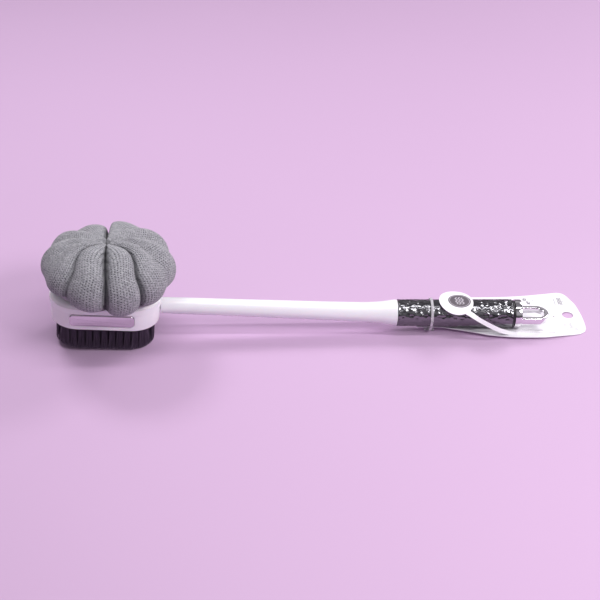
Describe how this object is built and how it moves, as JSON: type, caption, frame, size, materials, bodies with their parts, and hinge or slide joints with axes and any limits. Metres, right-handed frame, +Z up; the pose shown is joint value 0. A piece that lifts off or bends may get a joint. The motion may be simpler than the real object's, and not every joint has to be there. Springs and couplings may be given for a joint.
{
  "type": "loofah back scrubber",
  "caption": "Long-handled back scrubber with a nylon bristle brush on one side of its head, a grey knitted puff on the other, a chrome grip, a hanging loop and a blank card tag.",
  "frame": {"origin": "centre of the plane of the bristle tips, which the head stands on", "axes": "+X along the handle from the head to the hanging loop, +Z up out of the head through the puff, +Y completes a right-handed frame"},
  "size_m": [0.4371, 0.1004, 0.0842],
  "materials": {
    "white_plastic": "gloss white",
    "black_plastic": "gloss black",
    "black_nylon": "satin nylon filament",
    "chrome_plate": "mirror chrome plating on plastic",
    "hammered_chrome": "hammered dark chrome plating on plastic",
    "screw_steel": "plain steel",
    "grey_knit": "knitted exfoliating cloth",
    "foam": "open-cell foam",
    "cord": "thin braided cord",
    "black_rubber": "matt rubber",
    "white_card": "coated card",
    "clear_band": "clear plastic band"
  },
  "bodies": {
    "brush": {"head_shell": "white_plastic", "head_cover": "white_plastic", "bristle_plate": "black_plastic", "bristle_tufts": "black_nylon", "chrome_bar": "chrome_plate", "cover_screw_1": "screw_steel", "cover_screw_2": "screw_steel", "cover_screw_3": "screw_steel", "cover_screw_4": "screw_steel", "neck_screw": "screw_steel", "handle_tube": "white_plastic", "grip_core": "white_plastic", "grip_sleeve": "hammered_chrome"},
    "puff": {"puff_cover": "grey_knit", "puff_core": "foam", "puff_base": "white_plastic", "puff_tie": "cord"},
    "end": {"seal_ring": "black_rubber", "end_cap": "chrome_plate", "hang_loop": "chrome_plate"},
    "tag": {"tag_card": "white_card", "tag_tie": "clear_band", "tie_clip": "clear_band"}
  },
  "joints": [
    {"name": "puff_lift", "type": "slide", "parent": "brush", "child": "puff", "axis": [0, 0, 1], "range_m": [0, 0.06]},
    {"name": "end_cap_turn", "type": "hinge", "parent": "brush", "child": "end", "pos_m": [0.32415, 0, 0.03042], "axis": [0.9995, 0, 0.0329], "continuous": true},
    {"name": "tag_swing", "type": "hinge", "parent": "brush", "child": "tag", "pos_m": [0.27698, 0, 0.02887], "axis": [0.9995, 0, 0.0329], "continuous": true}
  ]
}
